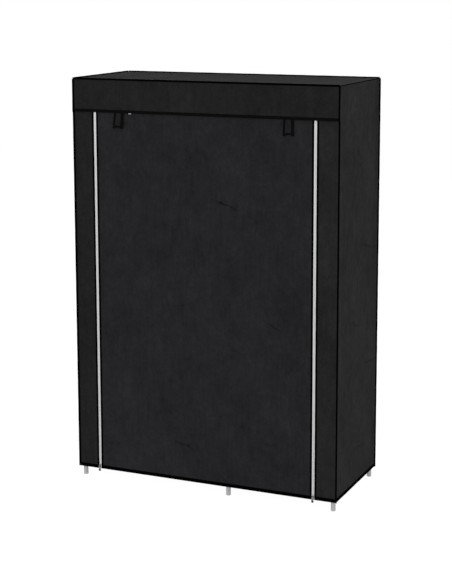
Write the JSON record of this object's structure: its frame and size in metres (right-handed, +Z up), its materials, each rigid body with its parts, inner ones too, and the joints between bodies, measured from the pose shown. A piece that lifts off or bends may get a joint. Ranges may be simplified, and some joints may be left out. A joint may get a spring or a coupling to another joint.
{
  "type": "portable fabric wardrobe",
  "caption": "Tall free-standing wardrobe: a black non-woven cloth cover with a zipped roll-up front over a plugged steel tube frame with a hanging rail and shelves.",
  "frame": {"origin": "on the floor, under the middle of the wardrobe's outline", "axes": "+Z up, front towards -Y, +X to the right as seen from the front"},
  "size_m": [1.1, 0.4686, 1.61],
  "materials": {
    "roof_cloth": "black non-woven cloth, matt",
    "side_cloth": "black non-woven cloth, matt",
    "front_cloth": "black non-woven cloth, matt",
    "door_cloth": "black non-woven cloth, matt",
    "valance_cloth": "black non-woven cloth, matt",
    "strap_cloth": "black cloth strap with bound edges",
    "zip_tape": "white zip tape and coil",
    "zip_metal": "grey lacquered zip slider and pull",
    "steel_tube": "light grey coated steel tube",
    "connector_plastic": "black moulded plastic",
    "shelf_cloth": "black non-woven cloth with sewn hems"
  },
  "bodies": {
    "root": {"roof_panel": "roof_cloth", "back_panel": "side_cloth", "left_side_panel": "side_cloth", "right_side_panel": "side_cloth", "front_left_strip": "front_cloth", "front_right_strip": "front_cloth", "valance": "valance_cloth", "door_header": "door_cloth", "zip_tape_left": "zip_tape", "zip_tape_right": "zip_tape", "upright_front_left": "steel_tube", "upright_front_middle": "steel_tube", "upright_front_right": "steel_tube", "upright_back_left": "steel_tube", "upright_back_middle": "steel_tube", "upright_back_right": "steel_tube", "top_connector_front_left": "connector_plastic", "top_connector_front_middle": "connector_plastic", "top_connector_front_right": "connector_plastic", "top_connector_back_left": "connector_plastic", "top_connector_back_middle": "connector_plastic", "top_connector_back_right": "connector_plastic", "bottom_connector_front_left": "connector_plastic", "bottom_connector_front_middle": "connector_plastic", "bottom_connector_front_right": "connector_plastic", "bottom_connector_back_left": "connector_plastic", "bottom_connector_back_middle": "connector_plastic", "bottom_connector_back_right": "connector_plastic", "top_rail_front_left": "steel_tube", "top_rail_front_right": "steel_tube", "top_rail_back_left": "steel_tube", "top_rail_back_right": "steel_tube", "top_side_rail_left": "steel_tube", "top_side_rail_middle": "steel_tube", "top_side_rail_right": "steel_tube", "bottom_side_rail_left": "steel_tube", "bottom_side_rail_middle": "steel_tube", "bottom_side_rail_right": "steel_tube", "hanging_rail": "steel_tube", "shelf_left_bottom": "shelf_cloth", "shelf_right_bottom": "shelf_cloth", "shelf_right_lower": "shelf_cloth", "shelf_right_middle": "shelf_cloth", "shelf_right_upper": "shelf_cloth"},
    "band_01": {"door_band_01": "door_cloth"},
    "band_02": {"door_band_02": "door_cloth"},
    "band_03": {"door_band_03": "door_cloth"},
    "band_04": {"door_band_04": "door_cloth"},
    "band_05": {"door_band_05": "door_cloth"},
    "band_06": {"door_band_06": "door_cloth"},
    "band_07": {"door_band_07": "door_cloth"},
    "band_08": {"door_band_08": "door_cloth"},
    "band_09": {"door_band_09": "door_cloth"},
    "band_10": {"door_band_10": "door_cloth"},
    "slider_left": {"zip_slider_left": "zip_metal"},
    "pull_left": {"zip_pull_left": "zip_metal"},
    "tie_left": {"strap_left": "strap_cloth"},
    "slider_right": {"zip_slider_right": "zip_metal"},
    "pull_right": {"zip_pull_right": "zip_metal"},
    "tie_right": {"strap_right": "strap_cloth"}
  },
  "joints": [
    {"name": "door_roll", "type": "hinge", "parent": "root", "child": "band_01", "pos_m": [0, -0.22485, 1.254], "axis": [-1, 0, 0], "range_deg": [0, 88]},
    {"name": "door_roll_02", "type": "hinge", "parent": "band_01", "child": "band_02", "pos_m": [0, -0.22485, 1.08743], "axis": [-1, 0, 0], "range_deg": [0, 92.1]},
    {"name": "door_roll_03", "type": "hinge", "parent": "band_02", "child": "band_03", "pos_m": [0, -0.22485, 0.93084], "axis": [-1, 0, 0], "range_deg": [0, 92.6]},
    {"name": "door_roll_04", "type": "hinge", "parent": "band_03", "child": "band_04", "pos_m": [0, -0.22485, 0.78426], "axis": [-1, 0, 0], "range_deg": [0, 93.1]},
    {"name": "door_roll_05", "type": "hinge", "parent": "band_04", "child": "band_05", "pos_m": [0, -0.22485, 0.64767], "axis": [-1, 0, 0], "range_deg": [0, 93.6]},
    {"name": "door_roll_06", "type": "hinge", "parent": "band_05", "child": "band_06", "pos_m": [0, -0.22485, 0.52107], "axis": [-1, 0, 0], "range_deg": [0, 94.1]},
    {"name": "door_roll_07", "type": "hinge", "parent": "band_06", "child": "band_07", "pos_m": [0, -0.22485, 0.40447], "axis": [-1, 0, 0], "range_deg": [0, 94.6]},
    {"name": "door_roll_08", "type": "hinge", "parent": "band_07", "child": "band_08", "pos_m": [0, -0.22485, 0.29786], "axis": [-1, 0, 0], "range_deg": [0, 95.1]},
    {"name": "door_roll_09", "type": "hinge", "parent": "band_08", "child": "band_09", "pos_m": [0, -0.22485, 0.20124], "axis": [-1, 0, 0], "range_deg": [0, 95.6]},
    {"name": "door_roll_10", "type": "hinge", "parent": "band_09", "child": "band_10", "pos_m": [0, -0.22485, 0.11463], "axis": [-1, 0, 0], "range_deg": [0, 96.1]},
    {"name": "zip_left_slide", "type": "slide", "parent": "root", "child": "slider_left", "axis": [0, 0, 1], "range_m": [0, 1.417]},
    {"name": "zip_right_slide", "type": "slide", "parent": "root", "child": "slider_right", "axis": [0, 0, 1], "range_m": [0, 1.417]},
    {"name": "pull_left_swing", "type": "hinge", "parent": "slider_left", "child": "pull_left", "pos_m": [-0.458, -0.23235, 0.051], "axis": [-1, 0, 0], "range_deg": [0, 150]},
    {"name": "pull_right_swing", "type": "hinge", "parent": "slider_right", "child": "pull_right", "pos_m": [0.458, -0.23235, 0.051], "axis": [-1, 0, 0], "range_deg": [0, 150]},
    {"name": "strap_left_lift", "type": "hinge", "parent": "root", "child": "tie_left", "pos_m": [-0.352, -0.22665, 1.479], "axis": [-1, 0, 0], "range_deg": [0, 135]},
    {"name": "strap_right_lift", "type": "hinge", "parent": "root", "child": "tie_right", "pos_m": [0.352, -0.22665, 1.479], "axis": [-1, 0, 0], "range_deg": [0, 135]}
  ],
  "couplings": [
    {"joint": "door_roll_02", "follows": "door_roll", "ratio": 1.0454},
    {"joint": "door_roll_03", "follows": "door_roll", "ratio": 1.0511},
    {"joint": "door_roll_04", "follows": "door_roll", "ratio": 1.0568},
    {"joint": "door_roll_05", "follows": "door_roll", "ratio": 1.0625},
    {"joint": "door_roll_06", "follows": "door_roll", "ratio": 1.0682},
    {"joint": "door_roll_07", "follows": "door_roll", "ratio": 1.0739},
    {"joint": "door_roll_08", "follows": "door_roll", "ratio": 1.0796},
    {"joint": "door_roll_09", "follows": "door_roll", "ratio": 1.0852},
    {"joint": "door_roll_10", "follows": "door_roll", "ratio": 1.0909}
  ]
}
